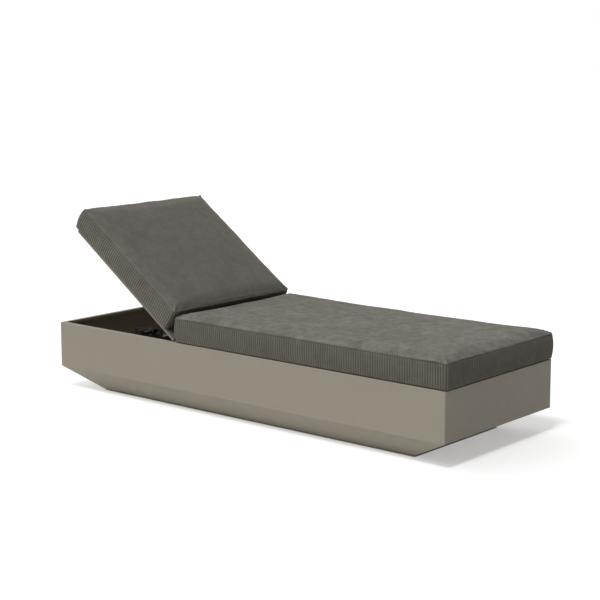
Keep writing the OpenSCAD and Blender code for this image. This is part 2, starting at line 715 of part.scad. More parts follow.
// Cushion form: rings of a rounded rectangle, each drawn in along its sides, from the
// underside up the swelling sides, over the seam and on to the crown
function arc(cx, cy, r, start) = [for (i = [0 : arc_steps - 1])
    [cx + r * cos(start + 90 * i / (arc_steps - 1)), cy + r * sin(start + 90 * i / (arc_steps - 1))]];
function line(p, q, steps) = [for (i = [1 : steps - 1]) p + (q - p) * i / steps];
function rounded(l, w, r) = concat(
    arc(l - r, -w + r, r, -90), line([l, -w + r], [l, w - r], short_steps),
    arc(l - r, w - r, r, 0), line([l - r, w], [-l + r, w], long_steps),
    arc(-l + r, w - r, r, 90), line([-l, w - r], [-l, -w + r], short_steps),
    arc(-l + r, -w + r, r, 180), line([-l + r, -w], [l - r, -w], long_steps));
function drawn(p, l, w) = [
    p.x * (1 - cushion_draw / l * (1 - pow(p.y / w, 2))),
    p.y * (1 - cushion_draw / w * (1 - pow(p.x / l, 2)))
];
function ring_corner(inset) = max(cushion_corner - inset, cushion_corner / 4);
function ring_points(l, w, step) = [
    for (p = rounded(l - step[0], w - step[0], ring_corner(step[0])))
        let (q = drawn(p, l, w)) [q.x, q.y, step[1]]
];
// Steps of the form: how far in from the outline, and how high
function edge_step(angle, deep) = [
    cushion_round - (cushion_round - deep) * cos(angle),
    cushion_thick - cushion_round + (cushion_round - deep) * sin(angle)
];
function form_steps(w) = concat(
    [[cushion_round / 2, 0], [cushion_round / 8, cushion_round / 5]],
    [for (i = [0 : swell_steps]) let (share = i / swell_steps) [
        -cushion_swell * sin(180 * share),
        cushion_round / 2 + share * (cushion_thick - 1.5 * cushion_round)
    ]],
    [edge_step(45 - 2 * seam_half_angle, 0), edge_step(45 - seam_half_angle, 0), edge_step(45, seam_depth),
        edge_step(45 + seam_half_angle, 0), edge_step(45 + 2.5 * seam_half_angle, 0), edge_step(90, 0)],
    [for (i = [0 : len(crown_in_shares) - 1]) [
        cushion_round + crown_in_shares[i] * (w - cushion_round),
        cushion_thick + crown_up_shares[i] * cushion_crown
    ]]);
module cushion_form(len_x, len_y) {
    l = len_x / 2;
    w = len_y / 2;
    steps = form_steps(w);
    rings = [for (s = steps) ring_points(l, w, s)];
    count = len(rings[0]);
    last = len(steps) - 1;
    points = concat([for (r = rings) each r], [[0, 0, 0], [0, 0, cushion_thick + cushion_crown]]);
    low = count * len(steps);
    bands = [for (k = [0 : last - 1], i = [0 : count - 1]) let (
            a = k * count + i, b = k * count + (i + 1) % count, c = b + count, d = a + count
        ) each [[a, d, c], [a, c, b]]];
    caps = [for (i = [0 : count - 1]) let (j = (i + 1) % count)
        each [[low, i, j], [low + 1, last * count + j, last * count + i]]];
    polyhedron(points = points, faces = concat(bands, caps));
}
module core_box(len_x, len_y, gap) block(
    [-len_x / 2 + wadding - gap, -len_y / 2 + wadding - gap, wadding - gap],
    [len_x / 2 - wadding + gap, len_y / 2 - wadding + gap, cushion_thick - wadding + gap]);
module cover(len_x, len_y) difference() {
    cushion_form(len_x, len_y);
    core_box(len_x, len_y, core_gap);
    translate([-len_x / 2, 0, cushion_thick / 2]) zip_cuts();
}
module at_seat_cushion() translate([(seat_head + seat_foot) / 2, 0, deck_top]) children();
module at_back_cushion() reclined() translate([-(back_cushion_head + back_setback) / 2, 0, leaf_top]) children();
module seat_cover() color(cloth) difference() {
    at_seat_cushion() cover(seat_cushion_len, base_wid);
    at_seat_strips() strip_pocket();
}
module back_cover() color(cloth) difference() {
    at_back_cushion() cover(back_cushion_len, base_wid);
    reclined() at_back_strips() strip_pocket();
}
module seat_core() color(foam) at_seat_cushion() core_box(seat_cushion_len, base_wid, 0);
module back_core() color(foam) at_back_cushion() core_box(back_cushion_len, base_wid, 0);

// Zips, drawn for a cushion face at x = 0 that looks towards -X
module zip_cuts() {
    block([-2 * cushion_round, -zip_len / 2 - fit_gap, -tape_wid / 2 - fit_gap],
        [zip_depth, zip_len / 2 + fit_gap, tape_wid / 2 + fit_gap]);
    block([zip_depth - over, -zip_len / 2 + slit_margin, -slit_wid / 2],
        [wadding, zip_len / 2 - slit_margin, slit_wid / 2]);
}
module zip_tape() {
    block([zip_depth - tape_thick, -zip_len / 2, -tape_wid / 2], [zip_depth, zip_len / 2, tape_wid / 2]);
    block([zip_depth - tape_thick - chain_ht, -zip_len / 2, -chain_wid / 2],
        [zip_depth - tape_thick / 2, zip_len / 2, chain_wid / 2]);
}
module zip_slider() translate([0, slider_y, 0]) {
    difference() {
        block([slider_face, -slider_len / 2, -slider_wid / 2],
            [zip_depth - tape_thick - fit_gap, slider_len / 2, slider_wid / 2]);
        block([slider_face + slider_back, -slider_len, -chain_wid / 2 - fit_gap],
            [zip_depth, slider_len, chain_wid / 2 + fit_gap]);
    }
    for (side = [-1, 1]) translate([0, side * (pull_wid / 2 + fit_gap + ear_thick / 2), 0])
        plate_y(ear_thick) slot_outline(pull_x, slider_face, pull_eye_r);
    translate([pull_x, 0, 0]) rod_y(pull_pin_r, -pull_wid / 2 - ear_thick / 2, pull_wid / 2 + ear_thick / 2);
}
module zip_pull() translate([pull_x, slider_y, 0]) difference() {
    union() {
        rod_y(pull_eye_r, -pull_wid / 2, pull_wid / 2);
        block([-pull_thick / 2, -pull_wid / 2, -pull_len], [pull_thick / 2, pull_wid / 2, 0]);
    }
    rod_y(pull_pin_r + run_gap, -pull_wid, pull_wid);
}
module seat_zip() color(dark_steel) at_seat_zip() zip_tape();
module seat_zip_slider() color(bright_steel) at_seat_zip() zip_slider();
module seat_zip_pull() color(bright_steel) at_seat_zip() zip_pull();
module back_zip() color(dark_steel) at_back_zip() zip_tape();
module back_zip_slider() color(bright_steel) at_back_zip() zip_slider();
module back_zip_pull() color(bright_steel) at_back_zip() zip_pull();

side_panel_near();
side_panel_far();
head_panel();
foot_panel();
base_plate();
base_rivets();
glides();
glide_screws();
glide_nuts();
side_rails();
deck_bars();
deck_bar_screws();
cross_members();
seat_deck();
deck_screws();
tube_caps();
guide_near();
guide_far();
guide_bolts();
guide_nuts();
hinge_seat_leaves();
hinge_seat_screws();
hinge_pins();
seat_hook_strips();
seat_loop_strips();
seat_cover();
seat_core();
seat_zip();
back_board();
hinge_back_leaves();
hinge_back_screws();
prop_brackets();
bracket_screws();
pivot_pins();
pivot_rings();
rest_pads();
back_hook_strips();
back_loop_strips();
back_cover();
back_core();
back_zip();
prop_legs();
foot_bar();
slide_bushes();
clamp_washers();
clamp_sleeves();
knob_near();
knob_insert_near();
knob_far();
knob_insert_far();
seat_zip_slider();
seat_zip_pull();
back_zip_slider();
back_zip_pull();
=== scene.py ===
"""Looks of the spa relaxation lounger: cloth cushions built and simulated here, and
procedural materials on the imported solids. Lengths are in metres."""

import json
import math

import bpy
import numpy as np
from mathutils import Matrix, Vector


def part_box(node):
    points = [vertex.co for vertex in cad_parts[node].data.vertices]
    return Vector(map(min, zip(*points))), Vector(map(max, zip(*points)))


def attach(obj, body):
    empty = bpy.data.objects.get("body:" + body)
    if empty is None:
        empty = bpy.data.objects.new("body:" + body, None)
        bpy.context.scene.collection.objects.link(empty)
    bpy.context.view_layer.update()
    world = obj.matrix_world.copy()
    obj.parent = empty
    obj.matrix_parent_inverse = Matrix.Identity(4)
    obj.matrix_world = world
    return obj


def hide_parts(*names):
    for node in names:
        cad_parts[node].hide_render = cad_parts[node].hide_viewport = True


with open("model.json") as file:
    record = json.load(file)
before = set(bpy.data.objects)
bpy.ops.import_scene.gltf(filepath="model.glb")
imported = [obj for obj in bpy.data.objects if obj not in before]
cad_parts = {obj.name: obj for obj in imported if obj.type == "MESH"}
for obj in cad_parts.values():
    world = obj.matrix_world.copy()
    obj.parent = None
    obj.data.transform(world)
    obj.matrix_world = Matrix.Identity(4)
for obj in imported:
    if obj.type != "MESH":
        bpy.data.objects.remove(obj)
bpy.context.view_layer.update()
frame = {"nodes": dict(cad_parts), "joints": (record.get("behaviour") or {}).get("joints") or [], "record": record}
nodes = frame["nodes"]


def box_end(node, end, axis):
    """The low end (0) or high end (1) of a node's box, to a hundredth of a millimetre."""
    return round(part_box(node)[end]["xyz".index(axis)], 5)


# Places from the frame. The backrest lies flat at its hinge's lower limit, its board level with the
# deck, so BOARD_TOP is the board's height over the hinge axis, square to the board.
hinge = next(joint for joint in frame["joints"] if joint["name"] == "backrest_hinge")
AXIS = (hinge["pos_m"][0], hinge["pos_m"][2])
RECLINE = math.radians(-hinge["range_deg"][0])
SHELL_END = box_end("side_panel_far", 1, "x")
HALF_WID = box_end("side_panel_far", 1, "y")
DECK_TOP = box_end("seat_deck", 1, "z")
BOARD_TOP = DECK_TOP - AXIS[1]
PLATE_INSET = 0.005  # the base plate stands in this far from the shell's lower outline
FOOT_HALF_LEN = box_end("base_plate", 1, "x") + PLATE_INSET
FOOT_HALF_WID = box_end("base_plate", 1, "y") + PLATE_INSET
ZIP_HALF_LEN = box_end("seat_zip", 1, "y")
ZIP_HALF_WID = (box_end("seat_zip", 1, "z") - box_end("seat_zip", 0, "z")) / 2

# The cushions, as in the part's source
CROWN = 0.007
THICK = box_end("seat_cover", 1, "z") - DECK_TOP - CROWN
ROUND = 0.012
RIB = 0.011

# Their ends, along X from the origin and along the backrest from the hinge axis
SEAT_SETBACK = 0.003
SEAT_OVERHANG = 0.005
BACK_SETBACK = 0.060
BACK_OVERHANG = 0.026
SEAT = (AXIS[0] + SEAT_SETBACK, SHELL_END + SEAT_OVERHANG)
BACK = (-(AXIS[0] + SHELL_END) - BACK_OVERHANG, -BACK_SETBACK)
# How far a cushion's sides are drawn in between its corners, and how far they swell at half height
DRAW = 0.001
SWELL = 0.0045
LOW_ROUND = 0.004  # rounding of the lower edge
ZIP_DEPTH = 0.0044  # how deep the side is pressed in round a zip
BACK_PLUMP = 1.04  # how much thicker the back cushion is than the seat's
# The seam lies a little up the top's rounding and wanders in height
SEAM_TURN = math.radians(8)
SEAM_IN = ROUND * (1 - math.cos(SEAM_TURN))
SEAM_Z = THICK - ROUND + ROUND * math.sin(SEAM_TURN)
SEAM_HALF = 0.0019  # half width of its groove
SEAM_SWAY = 0.0035
# A rib's profile from 0 to 1 is a sine to this power. Then come its mean level and the ribs' heights.
RIB_POWER = 0.6
RIB_MEAN = 0.6
TOP_RIB = 0.0011
SIDE_RIB = 0.0019
RIB_STEPS = 6  # points of a grid across one rib
PUFF = 0.005  # most that the simulated cloth moves a point


# Camera, fitted to the object's edges in the photograph. Upright edges stay parallel there, as from a
# level camera with its view shifted far down. Most of that shift is left out, so that the other views
# keep the object in frame.
camera_data = bpy.data.cameras.new("camera")
camera = bpy.data.objects.new("camera", camera_data)
bpy.context.scene.collection.objects.link(camera)
camera.location = (3.9488, -4.6397, 1.5229)
camera.rotation_euler = (math.radians(81.3068), 0, math.radians(40.0727))
camera_data.sensor_width = 36
camera_data.lens = 92.08
camera_data.shift_y = -0.06
camera_data.clip_end = 60
bpy.context.scene.camera = camera
bpy.context.scene.view_settings.view_transform = "Standard"


# Materials
class Nodes:
    """A node tree with short calls for what this scene needs."""

    def __init__(self, tree):
        self.tree = tree

    def link(self, source, target):
        self.tree.links.new(source, target)

    def node(self, kind, **settings):
        made = self.tree.nodes.new(kind)
        for key, value in settings.items():
            setattr(made, key, value)
        return made

    def span(self, value, low, high, from_low=0.3, from_high=0.7):
        made = self.node("ShaderNodeMapRange")
        self.link(value, made.inputs["Value"])
        limits = {"From Min": from_low, "From Max": from_high, "To Min": low, "To Max": high}
        for key, number in limits.items():
            made.inputs[key].default_value = number
        return made.outputs["Result"]

    def math(self, operation, a, b=None):
        made = self.node("ShaderNodeMath", operation=operation)
        for socket, value in zip(made.inputs, (a, b)):
            if value is None:
                continue
            if isinstance(value, (int, float)):
                socket.default_value = value
            else:
                self.link(value, socket)
        return made.outputs["Value"]

    def shown_rays(self):
        """1 for the rays by which the picture shows a thing, straight or in gloss or glass."""
        rays = self.node("ShaderNodeLightPath").outputs
        gloss = self.math("MAXIMUM", rays["Is Glossy Ray"], rays["Is Transmission Ray"])
        return self.math("MAXIMUM", rays["Is Camera Ray"], gloss)


class Graph(Nodes):
    """A material built on its main shader."""

    def __init__(self, name, color, roughness, metallic=0.0, specular=0.5):
        self.material = bpy.data.materials.new(name)
        self.material.use_nodes = True
        super().__init__(self.material.node_tree)
        self.bsdf = self.tree.nodes["Principled BSDF"]
        self.color = color
        self.set("Base Color", (*color, 1))
        self.set("Roughness", roughness)
        self.set("Metallic", metallic)
        self.set("Specular IOR Level", specular)
        self.height = None

    def set(self, socket, value):
        self.bsdf.inputs[socket].default_value = value

    def coords(self, scale=(1, 1, 1), source="Object"):
        texture = self.node("ShaderNodeTexCoord")
        mapping = self.node("ShaderNodeMapping")
        mapping.inputs["Scale"].default_value = scale
        self.link(texture.outputs[source], mapping.inputs["Vector"])
        return mapping.outputs["Vector"]

    def noise(self, scale, stretch=(1, 1, 1), detail=3.0, rough=0.55, source="Object"):
        made = self.node("ShaderNodeTexNoise")
        self.link(self.coords(stretch, source), made.inputs["Vector"])
        made.inputs["Scale"].default_value = scale
        made.inputs["Detail"].default_value = detail
        made.inputs["Roughness"].default_value = rough
        return made.outputs["Fac"]

    def tint(self, factor):
        """Multiplies the colour by a factor that varies over the surface."""
        made = self.node("ShaderNodeVectorMath", operation="SCALE")
        inlet = self.bsdf.inputs["Base Color"]
        if inlet.is_linked:
            self.link(inlet.links[0].from_socket, made.inputs[0])
        else:
            made.inputs[0].default_value = self.color
        self.link(factor, made.inputs["Scale"])
        self.link(made.outputs["Vector"], inlet)

    def vary(self, scale, amount, **where):
        self.tint(self.span(self.noise(scale, **where), 1 - amount, 1 + amount))

    def roughen(self, scale, low, high, **where):
        self.link(self.span(self.noise(scale, **where), low, high), self.bsdf.inputs["Roughness"])

    def bump(self, height, distance, strength=1.0):
        made = self.node("ShaderNodeBump")
        made.inputs["Distance"].default_value = distance
        made.inputs["Strength"].default_value = strength
        self.link(height, made.inputs["Height"])
        if self.height is not None:
            self.link(self.height, made.inputs["Normal"])
        self.height = made.outputs["Normal"]
        self.link(self.height, self.bsdf.inputs["Normal"])

    def wear_and_crease_shade(self, amount):
        """Lightens outer edges as wear and painted highlight; darkens inner ones as painted shade."""
        geometry = self.node("ShaderNodeNewGeometry")
        self.tint(self.span(geometry.outputs["Pointiness"], 1 - amount / 2, 1 + amount, 0.48, 0.54))


def linear(*rgb):
    """Linear colour of a display colour from 0 to 255."""
    return tuple(((c / 255 + 0.055) / 1.055) ** 2.4 for c in rgb)


def coated(name, color, roughness, grain, depth, patch):
    """Powder coat or laminate: a fine grain over faint patches."""
    made = Graph(name, color, roughness, specular=0.4)
    made.vary(3.5, patch, detail=2.0)
    made.vary(260, 0.025, detail=2.0)
    # Outer edges lighter as wear, creases darker as painted shade
    made.wear_and_crease_shade(0.05)
    made.roughen(30, roughness - 0.05, roughness + 0.07)
    made.bump(made.noise(grain, detail=2.0), depth, 0.5)
    return made.material


def brushed(name, color, roughness, stretch):
    """Metal with fine lines, stretched along one direction."""
    made = Graph(name, color, roughness, metallic=1.0)
    made.vary(120, 0.06, stretch=stretch)
    made.roughen(160, roughness - 0.07, roughness + 0.1, stretch=stretch)
    made.bump(made.noise(500, stretch=stretch), 0.00005, 0.4)
    return made.material


def moulded(name, color, roughness):
    """Plastic or rubber."""
    made = Graph(name, color, roughness, specular=0.4)
    made.vary(40, 0.10)
    made.roughen(90, roughness - 0.06, roughness + 0.08)
    made.bump(made.noise(900, detail=2.0), 0.00006, 0.6)
    return made.material


# Cloth colour follows the part of a rib's profile between these, as painted shade in the grooves, and
# ridges lighten by this share of what grooves darken, as a painted highlight
RIDGE = (0.1, 0.95)
RIDGE_HIGHLIGHT = 0.35
# On a rolled top the painted shade of the side's ribs starts and ends this far in from the edge, with these depths
ROLL = (0.034, 0.008)
ROLLED_RIB_SHADE = {"X": 0.08, "Y": 0.32}
# The shade beside a seam: how far below a side's it starts and is full, and how wide it is on a top
SEAM_SHADE = (0.006, 0.002)
RIM_SHADE = 0.0012
SHADE = 0.5
# Blotches of the cloth: the scale of their noise and how far it changes the colour
BLOTCHES = ((5.0, 0.07), (14.0, 0.14), (30.0, 0.20), (90.0, 0.12))


def wale(name, color, groove, bead, mottle, rolled=False, seam=None, rim=None):
    """Ribbed velvet: UV's first direction runs across the ribs, its second along them.

    groove and bead are the depths of painted shade in the ribs' grooves, across and along the ribs,
    with a painted highlight on the ridges. On a rolled top the side's painted rib shade carries on over
    the long edges. seam is the height of a side's seam, and rim a top's half width and half length:
    painted shade darkens the cloth beside both.
    """
    made = Graph(name, color, 0.92, specular=0.15)
    made.set("Sheen Weight", 0.25)
    made.set("Sheen Roughness", 0.45)
    made.set("Sheen Tint", (*linear(200, 196, 184), 1))
    split = made.node("ShaderNodeSeparateXYZ")
    made.link(made.coords(source="UV"), split.inputs["Vector"])
    from_middle = made.math("ABSOLUTE", split.outputs["X"])
    edge = made.span(from_middle, 0, 1, HALF_WID - ROLL[0], HALF_WID - ROLL[1])
    # Painted shade in the ribs' grooves and a painted highlight on their ridges; the bump is the ribs' relief
    for socket, share in (("X", groove), ("Y", bead)):
        turn = made.math("MULTIPLY", split.outputs[socket], math.pi / RIB)
        ridge = made.math("POWER", made.math("ABSOLUTE", made.math("SINE", turn)), RIB_POWER)
        if rolled:
            wanted = made.span(edge, share, ROLLED_RIB_SHADE[socket], 0.0, 1.0)
            shade = made.math("MULTIPLY", wanted, made.span(ridge, -1, RIDGE_HIGHLIGHT, *RIDGE))
            made.tint(made.math("ADD", 1, shade))
        elif share:
            made.tint(made.span(ridge, 1 - share, 1 + share * RIDGE_HIGHLIGHT, *RIDGE))
        made.bump(ridge, 0.0006 * share / (groove + bead), 0.8)
    if seam:
        start, full = (seam - below for below in SEAM_SHADE)
        made.tint(made.span(split.outputs["Y"], 1.0, SHADE, start, full))
    if rim:
        past = [made.math("SUBTRACT", made.math("ABSOLUTE", split.outputs[axis]), half)
                for axis, half in zip(("X", "Y"), rim)]
        made.tint(made.span(made.math("MAXIMUM", *past), 1.0, SHADE, -RIM_SHADE, 0.0))
    for scale, amount in BLOTCHES:
        made.vary(scale, amount * mottle, detail=3.0)
    made.vary(60.0, 0.03, stretch=(16, 3, 1), source="UV")
    # Ridges lighter as a painted highlight, grooves and seams darker as painted shade
    made.wear_and_crease_shade(0.12)
    fibre = made.noise(240, stretch=(3, 1, 1), source="UV", detail=4.0)
    made.bump(fibre, 0.0005, 0.9)
    return made.material


def woven(name, color, thread):
    """Plain tape cloth with threads both ways."""
    made = Graph(name, color, 0.9, specular=0.2)
    along, across = (made.node("ShaderNodeTexWave", bands_direction=way) for way in ("X", "Y"))
    for wave in (along, across):
        made.link(made.coords(), wave.inputs["Vector"])
        wave.inputs["Scale"].default_value = 1 / (2 * math.pi * thread)
        wave.inputs["Distortion"].default_value = 0.6
    made.vary(18, 0.12)
    made.bump(made.math("ADD", along.outputs["Fac"], across.outputs["Fac"]), thread / 6, 0.8)
    return made.material


def porous(name, color):
    """Open foam."""
    made = Graph(name, color, 0.95, specular=0.1)
    cells = made.node("ShaderNodeTexVoronoi")
    made.link(made.coords(), cells.inputs["Vector"])
    cells.inputs["Scale"].default_value = 700
    made.tint(made.span(cells.outputs["Distance"], 0.7, 1.08, 0.0, 0.6))
    made.bump(cells.outputs["Distance"], 0.0006)
    return made.material


CLOTH = linear(113, 110, 103)
# The sides' cloth is the top's made darker: painted shade for the ribs' shadow on the sides
SHADED_SIDE_CLOTH = tuple(c * k for c, k in zip(CLOTH, (0.70, 0.69, 0.655)))
SEAT_RIM = (HALF_WID, (SEAT[1] - SEAT[0]) / 2)
looks = {
    "shell_paint": coated("shell_paint", linear(147, 140, 126), 0.6, 700, 0.00008, 0.018),
    "board_face": coated("board_face", linear(112, 107, 99), 0.6, 500, 0.00006, 0.03),
    "galvanised_tube": brushed("galvanised_tube", linear(100, 96, 89), 0.6, (1, 9, 9)),
    "dark_steel": coated("dark_steel", linear(40, 36, 30), 0.6, 900, 0.00006, 0.05),
    "bright_steel": brushed("bright_steel", linear(104, 102, 97), 0.55, (9, 1, 9)),
    "black_plastic": moulded("black_plastic", linear(33, 30, 26), 0.65),
    "black_rubber": moulded("black_rubber", linear(34, 34, 34), 0.8),
    "brass": brushed("brass", linear(201, 170, 104), 0.28, (1, 9, 1)),
    "tape_cloth": woven("tape_cloth", linear(62, 60, 55), 0.0012),
    "foam": porous("foam", linear(226, 218, 186)),
    "cover_cloth": wale("cover_cloth", CLOTH, 0.12, 0.09, 1.0, rim=SEAT_RIM),
}
cloth_side = wale("cover_cloth_side", SHADED_SIDE_CLOTH, 0.34, 0.0, 0.4, seam=SEAM_Z)
# The back cushion's sides carry less of that painted shade, and its top is a slightly lighter copy of the seat's
# cloth, painted light
back_shaded_side = tuple(1.165 * c for c in SHADED_SIDE_CLOTH)
cloth_back_side = wale("cover_cloth_back_side", back_shaded_side, 0.72, 0.0, 0.4)
back_lit_top = tuple(1.03 * c for c in CLOTH)
cloth_back = wale("cover_cloth_back", back_lit_top, 0.06, 0.06, 0.45, rolled=True)
for entry in frame["record"]["subparts"]:
    for material_slot in nodes[entry["node"]].material_slots:
        material_slot.material = looks[entry["material_slot"]]


# Cushions
# Spacing of the coarse mesh along X and Y, and its rows near an edge, in from it
COARSE = (0.020, 0.018)
NEAR_EDGE = np.array([0, 0.003, 0.0065, 0.011, 0.017, 0.026, 0.040, 0.058])
# Its rows up a side: at the lower edge, on both sides of the zip's two edges, and below the seam
ZIP_OUTER, ZIP_INNER = ZIP_HALF_WID + 0.0008, ZIP_HALF_WID - 0.0002
ZIP_ROWS = (-ZIP_OUTER, -ZIP_INNER, 0, ZIP_INNER, ZIP_OUTER)
SIDE_Z = np.array([0.0, 0.002, 0.006, 0.015, 0.027, *(THICK / 2 + row for row in ZIP_ROWS), 0.066, 0.074,
                   0.080, 0.0843, SEAM_Z])
# The crown's profile from an edge to the middle
CROWN_PLACES = (0, 0.09, 0.2, 0.4, 0.66, 1)
CROWN_HEIGHTS = (0, 0.42, 0.7, 0.92, 0.99, 1)
CORNER_DIP = 0.03  # how far from a corner its dip reaches


def spaced(half, coarse):
    """Places from -half to half, close together near both ends."""
    count = max(4, int(round((2 * half - 2 * NEAR_EDGE[-1]) / coarse)))
    middle = np.linspace(-half + NEAR_EDGE[-1], half - NEAR_EDGE[-1], count + 1)
    return np.concatenate([-half + NEAR_EDGE[:-1], middle, (half - NEAR_EDGE[:-1])[::-1]])


def rounded_corner(x, y, half_x, half_y, radius):
    """Moves points of a rectangle so that its corners become arcs."""
    u = (np.abs(x) - (half_x - radius)) / radius
    v = (np.abs(y) - (half_y - radius)) / radius
    both = (u > 0) & (v > 0)
    uc, vc = np.clip(u, 0, 1), np.clip(v, 0, 1)
    nu = np.where(both, uc * np.sqrt(1 - vc**2 / 2), u)
    nv = np.where(both, vc * np.sqrt(1 - uc**2 / 2), v)
    return (
        np.sign(x) * (half_x - radius + nu * radius),
        np.sign(y) * (half_y - radius + nv * radius),
    )


def drawn_in(x, y, half_x, half_y):
    """Moves points in where a side is drawn in between its corners."""
    return (
        x * (1 - DRAW / half_x * (1 - (y / half_y) ** 2)),
        y * (1 - DRAW / half_y * (1 - (x / half_x) ** 2)),
    )


def arch(rise):
    """Height of the top's rounding at a distance from where it starts."""
    return np.sqrt(np.maximum(ROUND**2 - rise**2, 0))


def side_inset(z):
    """How far in from the outline a side stands at height z."""
    low = LOW_ROUND / 2 * np.clip(1 - z / LOW_ROUND, 0, 1) ** 1.5
    high = ROUND - arch(np.maximum(z - THICK + ROUND, 0))
    share = np.clip((z - LOW_ROUND) / (THICK - ROUND - LOW_ROUND), 0, 1)
    return low + high - SWELL * np.sin(math.pi * share) ** 0.8


def top_height(inset, half_y):
    """The top's height at a distance in from its outline."""
    edge = THICK - ROUND + arch(ROUND - np.minimum(inset, ROUND))
    share = np.clip((inset - ROUND) / (half_y - ROUND), 0, 1)
    return edge + CROWN * np.interp(share, CROWN_PLACES, CROWN_HEIGHTS)


def lattice(half_x, half_y, corner, drop):
    """The cushion's closed coarse mesh: its grid places, the ring of its outline, the number of each
    grid point, its points and its faces."""
    xs = spaced(half_x, COARSE[0])
    ys = spaced(half_y, COARSE[1])
    nx, ny, nz = len(xs) - 1, len(ys) - 1, len(SIDE_Z) - 1
    index, points = {}, []

    def add(key, point):
        index[key] = len(points)
        points.append(point)

    def outline(i, j, inset):
        hx, hy = half_x - inset, half_y - inset
        radius = max(corner - inset, corner / 3)
        x, y = rounded_corner(xs[i] * hx / half_x, ys[j] * hy / half_y, hx, hy, radius)
        return drawn_in(x, y, half_x, half_y)

    ring = [(i, 0) for i in range(nx)] + [(nx, j) for j in range(ny)]
    ring += [(i, ny) for i in range(nx, 0, -1)] + [(0, j) for j in range(ny, 0, -1)]
    for k, z in enumerate(SIDE_Z):
        inset = float(side_inset(np.array(z)))
        for i, j in ring:
            add((i, j, k), (*outline(i, j, inset), z))
    for i in range(1, nx):
        for j in range(1, ny):
            x = xs[i] * (half_x - SEAM_IN) / half_x
            y = ys[j] * (half_y - SEAM_IN) / half_y
            inset = min(half_x - SEAM_IN - abs(x), half_y - SEAM_IN - abs(y)) + SEAM_IN
            px, py = outline(i, j, SEAM_IN)
            add((i, j, nz), (px, py, float(top_height(np.array(inset), half_y))))
            px, py = outline(i, j, ROUND / 2)
            add((i, j, 0), (px, py, 0.0))
    faces = []
    for i in range(nx):
        for j in range(ny):
            square = [(i, j), (i + 1, j), (i + 1, j + 1), (i, j + 1)]
            faces.append([index[(*p, nz)] for p in square])
            faces.append([index[(*p, 0)] for p in (square[0], *square[:0:-1])])
    for k in range(nz):
        for a, b in zip(ring, ring[1:] + ring[:1]):
            faces.append([index[(*a, k)], index[(*b, k)], index[(*b, k + 1)], index[(*a, k + 1)]])
    points = np.array(points)
    to_corner = np.hypot(half_x - np.abs(points[:, 0]), half_y - np.abs(points[:, 1]))
    points[:, 2] *= 1 - drop / THICK * bell(to_corner, CORNER_DIP)
    return xs, ys, ring, index, points, faces


def inflate(points, faces, held, cap, pressure=3.0):
    """Runs a cloth simulation under pressure, with the held points fixed, and returns how far each
    point moved, at most cap."""
    mesh = bpy.data.meshes.new("inflate")
    mesh.from_pydata(points.tolist(), [], faces)
    body = bpy.data.objects.new("inflate", mesh)
    bpy.context.scene.collection.objects.link(body)
    pins = body.vertex_groups.new(name="pins")
    pins.add(held, 1.0, "REPLACE")
    cloth = body.modifiers.new("cloth", "CLOTH")
    cloth.settings.quality = 5
    cloth.settings.mass = 0.3
    cloth.settings.tension_stiffness = 30
    cloth.settings.compression_stiffness = 30
    cloth.settings.bending_stiffness = 1.0
    cloth.settings.use_pressure = True
    cloth.settings.uniform_pressure_force = pressure
    cloth.settings.vertex_group_mass = "pins"
    cloth.settings.effector_weights.gravity = 0
    cloth.collision_settings.use_collision = False
    scene = bpy.context.scene
    for number in range(1, 21):
        scene.frame_set(number)
    settled = body.evaluated_get(bpy.context.evaluated_depsgraph_get()).to_mesh()
    after = np.array([v.co for v in settled.vertices])
    bpy.data.objects.remove(body)
    scene.frame_set(1)
    moved = after - points
    size = np.linalg.norm(moved, axis=1, keepdims=True)
    return moved * np.minimum(1, cap / np.maximum(size, 1e-9))


def smooth_noise(shape, cells, random):
    """A smooth random field from -1 to 1."""
    coarse = random.uniform(-1, 1, (cells[0] + 3, cells[1] + 3))
    u = np.linspace(0.5, cells[0] + 1.5, shape[0])
    v = np.linspace(0.5, cells[1] + 1.5, shape[1])
    return curve(curve(coarse, u).T, v).T


def curve(rows, u, closed=False):
    """A smooth curve through rows, at fractional row numbers u (Catmull-Rom)."""
    count = len(rows)
    base = np.floor(u).astype(int)
    if not closed:
        base = np.clip(base, 0, count - 2)
    t = (u - base).reshape(-1, *([1] * (rows.ndim - 1)))
    if closed:
        p0, p1, p2, p3 = (rows[(base + k) % count] for k in (-1, 0, 1, 2))
    else:
        p1, p2 = rows[base], rows[base + 1]
        inner = (base > 0).reshape(t.shape)
        p0 = np.where(inner, rows[np.maximum(base - 1, 0)], 2 * p1 - p2)
        inner = (base < count - 2).reshape(t.shape)
        p3 = np.where(inner, rows[np.minimum(base + 2, count - 1)], 2 * p2 - p1)
    cubic = 3 * (p1 - p2) + p3 - p0
    square = 2 * p0 - 5 * p1 + 4 * p2 - p3
    return p1 + 0.5 * t * (p2 - p0 + t * (square + t * cubic))


def normals_of(grid, closed=False):
    """Unit normals of a grid of points."""
    if closed:
        du = np.roll(grid, -1, 0) - np.roll(grid, 1, 0)
    else:
        du = np.gradient(grid, axis=0)
    n = np.cross(du, np.gradient(grid, axis=1))
    return n / np.maximum(np.linalg.norm(n, axis=2, keepdims=True), 1e-12)


def rib_height(across):
    return np.abs(np.sin(math.pi * across / RIB)) ** RIB_POWER - RIB_MEAN


def bell(distance, width):
    """1 at distance 0, fading over the width on both sides."""
    return np.exp(-((distance / width) ** 2))


def grid_faces(rows, columns, start=0, closed=False):
    """Faces of a grid of points whose numbers begin at start."""
    faces = []
    for i in range(rows if closed else rows - 1):
        a, b = i * columns + start, (i + 1) % rows * columns + start
        faces += [(a + j, b + j, b + j + 1, a + j + 1) for j in range(columns - 1)]
    return faces


